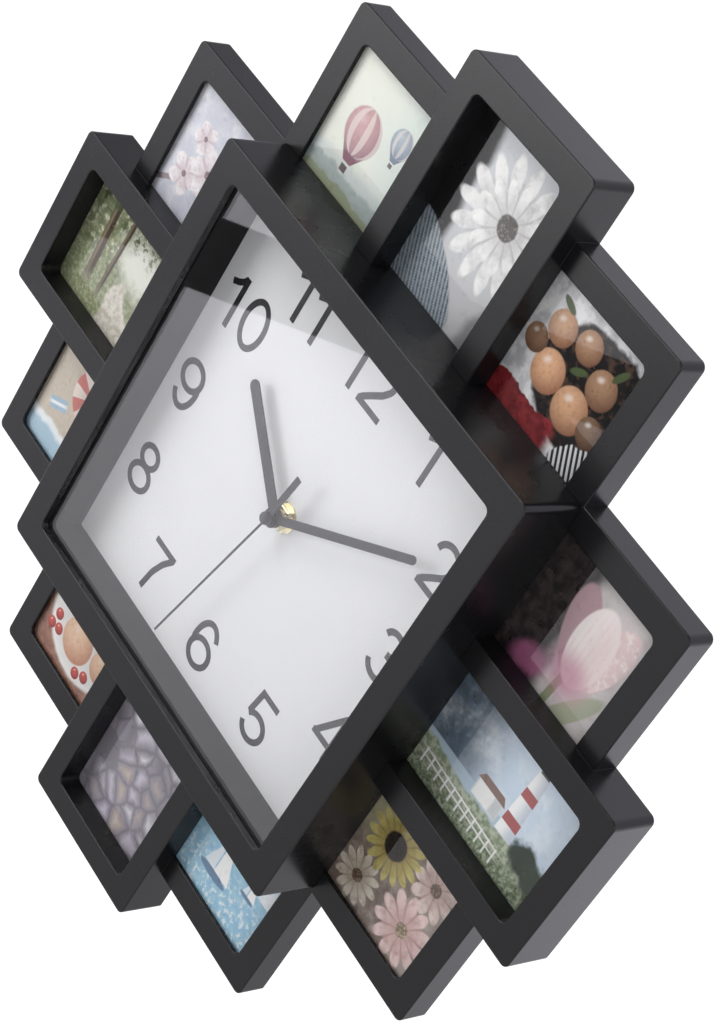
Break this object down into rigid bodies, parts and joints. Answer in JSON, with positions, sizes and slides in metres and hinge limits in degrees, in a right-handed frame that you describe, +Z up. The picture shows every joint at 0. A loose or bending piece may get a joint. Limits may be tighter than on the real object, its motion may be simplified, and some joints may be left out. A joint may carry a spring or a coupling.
{
  "type": "photo frame wall clock",
  "caption": "Square deep-framed wall clock with photo frames stepped round all sides, quartz movement, turning hands and rear clips, hung by a keyhole.",
  "frame": {"origin": "centre of the upper end of the keyhole slot, where the wall screw sits, on the wall plane y = 0", "axes": "+Z up towards twelve, -Y out of the wall towards the viewer, +X to the viewer's right (three o'clock)"},
  "size_m": [0.4168, 0.0439, 0.4168],
  "materials": {
    "frame_plastic": "satin black moulded plastic",
    "glass": "clear float glass",
    "clear_pane": "clear glossy acrylic",
    "photo_paper": "glossy photographic paper",
    "hardboard": "brown hardboard",
    "steel": "zinc-plated steel",
    "spacer_plastic": "satin dark plastic",
    "dial_white": "matt white print",
    "cover_plastic": "fine-grained black plastic",
    "movement_plastic": "black plastic",
    "brass": "bright brass",
    "rubber": "black rubber",
    "wheel_plastic": "white acetal",
    "hand_black": "satin black paint",
    "battery_wrap": "plain grey sleeve",
    "circuit_green": "green laminate",
    "copper": "enamelled copper wire"
  },
  "bodies": {
    "clock": {"backing_boards_bottom": "hardboard", "backing_boards_left": "hardboard", "backing_boards_right": "hardboard", "backing_boards_top": "hardboard", "battery": "battery_wrap", "battery_contacts": "steel", "brass_washer": "brass", "case_screws": "steel", "circuit_board": "circuit_green", "clip_rivets": "steel", "clock_frame": "frame_plastic", "clock_glass": "glass", "dial_plate": "dial_white", "glass_spacer": "spacer_plastic", "hanger_plate": "steel", "hanger_rivets": "steel", "hex_nut": "brass", "motor_coil": "copper", "movement_case": "movement_plastic", "movement_lid": "movement_plastic", "photo_frame_bottom": "frame_plastic", "photo_frame_left": "frame_plastic", "photo_frame_right": "frame_plastic", "photo_frame_top": "frame_plastic", "photo_panes_bottom": "clear_pane", "photo_panes_left": "clear_pane", "photo_panes_right": "clear_pane", "photo_panes_top": "clear_pane", "photo_prints_bottom": "photo_paper", "photo_prints_left": "photo_paper", "photo_prints_right": "photo_paper", "photo_prints_top": "photo_paper", "rear_cover": "cover_plastic", "rubber_cushion": "rubber", "stator_plate": "steel", "threaded_sleeve": "brass", "train_bridge": "movement_plastic"},
    "hour_hand": {"hour_wheel": "wheel_plastic", "hour_hand": "hand_black"},
    "minute_hand": {"minute_arbor": "wheel_plastic", "minute_hand": "hand_black"},
    "seconds_hand": {"seconds_arbor": "brass", "seconds_hand": "hand_black", "hand_cap": "hand_black"},
    "setting_knob": {"reduction_wheel": "wheel_plastic", "setting_knob": "movement_plastic"},
    "third_wheel": {"third_wheel": "wheel_plastic"},
    "centre_wheel": {"centre_wheel": "wheel_plastic"},
    "step_wheel": {"step_wheel": "wheel_plastic"},
    "rotor": {"rotor": "steel"},
    "turn_clip_top_first": {"turn_clip_top_first": "steel"},
    "turn_clip_top_second": {"turn_clip_top_second": "steel"},
    "turn_clip_right_first": {"turn_clip_right_first": "steel"},
    "turn_clip_right_second": {"turn_clip_right_second": "steel"},
    "turn_clip_bottom_first": {"turn_clip_bottom_first": "steel"},
    "turn_clip_bottom_second": {"turn_clip_bottom_second": "steel"},
    "turn_clip_left_first": {"turn_clip_left_first": "steel"},
    "turn_clip_left_second": {"turn_clip_left_second": "steel"}
  },
  "joints": [
    {"name": "minute_hand_spin", "type": "hinge", "parent": "clock", "child": "minute_hand", "pos_m": [0, -0.0276, -0.0811], "axis": [0, 1, 0], "continuous": true},
    {"name": "hour_hand_spin", "type": "hinge", "parent": "clock", "child": "hour_hand", "pos_m": [0, -0.0253, -0.0811], "axis": [0, 1, 0], "continuous": true},
    {"name": "seconds_hand_spin", "type": "hinge", "parent": "clock", "child": "seconds_hand", "pos_m": [0, -0.0297, -0.0811], "axis": [0, 1, 0], "continuous": true},
    {"name": "setting_knob_spin", "type": "hinge", "parent": "clock", "child": "setting_knob", "pos_m": [-0.00564, -0.0019, -0.07333], "axis": [0, 1, 0], "continuous": true},
    {"name": "third_wheel_spin", "type": "hinge", "parent": "clock", "child": "third_wheel", "pos_m": [-0.00719, -0.0069, -0.08316], "axis": [0, 1, 0], "continuous": true},
    {"name": "centre_wheel_spin", "type": "hinge", "parent": "clock", "child": "centre_wheel", "pos_m": [0, -0.0087, -0.0811], "axis": [0, 1, 0], "continuous": true},
    {"name": "step_wheel_spin", "type": "hinge", "parent": "clock", "child": "step_wheel", "pos_m": [0.00396, -0.0069, -0.07424], "axis": [0, 1, 0], "continuous": true},
    {"name": "rotor_spin", "type": "hinge", "parent": "clock", "child": "rotor", "pos_m": [0.00396, -0.0084, -0.06724], "axis": [0, 1, 0], "continuous": true},
    {"name": "turn_clip_top_first_swing", "type": "hinge", "parent": "clock", "child": "turn_clip_top_first", "pos_m": [-0.03525, -0.0062, 0.059], "axis": [0, 1, 0], "range_deg": [-90, 90]},
    {"name": "turn_clip_top_second_swing", "type": "hinge", "parent": "clock", "child": "turn_clip_top_second", "pos_m": [0.03525, -0.0062, 0.059], "axis": [0, 1, 0], "range_deg": [-90, 90]},
    {"name": "turn_clip_right_first_swing", "type": "hinge", "parent": "clock", "child": "turn_clip_right_first", "pos_m": [0.1401, -0.0062, -0.04585], "axis": [0, 1, 0], "range_deg": [-90, 90]},
    {"name": "turn_clip_right_second_swing", "type": "hinge", "parent": "clock", "child": "turn_clip_right_second", "pos_m": [0.1401, -0.0062, -0.11635], "axis": [0, 1, 0], "range_deg": [-90, 90]},
    {"name": "turn_clip_bottom_first_swing", "type": "hinge", "parent": "clock", "child": "turn_clip_bottom_first", "pos_m": [0.03525, -0.0062, -0.2212], "axis": [0, 1, 0], "range_deg": [-90, 90]},
    {"name": "turn_clip_bottom_second_swing", "type": "hinge", "parent": "clock", "child": "turn_clip_bottom_second", "pos_m": [-0.03525, -0.0062, -0.2212], "axis": [0, 1, 0], "range_deg": [-90, 90]},
    {"name": "turn_clip_left_first_swing", "type": "hinge", "parent": "clock", "child": "turn_clip_left_first", "pos_m": [-0.1401, -0.0062, -0.11635], "axis": [0, 1, 0], "range_deg": [-90, 90]},
    {"name": "turn_clip_left_second_swing", "type": "hinge", "parent": "clock", "child": "turn_clip_left_second", "pos_m": [-0.1401, -0.0062, -0.04585], "axis": [0, 1, 0], "range_deg": [-90, 90]}
  ],
  "couplings": [
    {"joint": "hour_hand_spin", "follows": "minute_hand_spin", "ratio": 0.083333},
    {"joint": "setting_knob_spin", "follows": "minute_hand_spin", "ratio": -0.33333},
    {"joint": "third_wheel_spin", "follows": "seconds_hand_spin", "ratio": -0.13333},
    {"joint": "centre_wheel_spin", "follows": "seconds_hand_spin", "ratio": 0.016667},
    {"joint": "step_wheel_spin", "follows": "seconds_hand_spin", "ratio": -5},
    {"joint": "rotor_spin", "follows": "seconds_hand_spin", "ratio": 30}
  ]
}
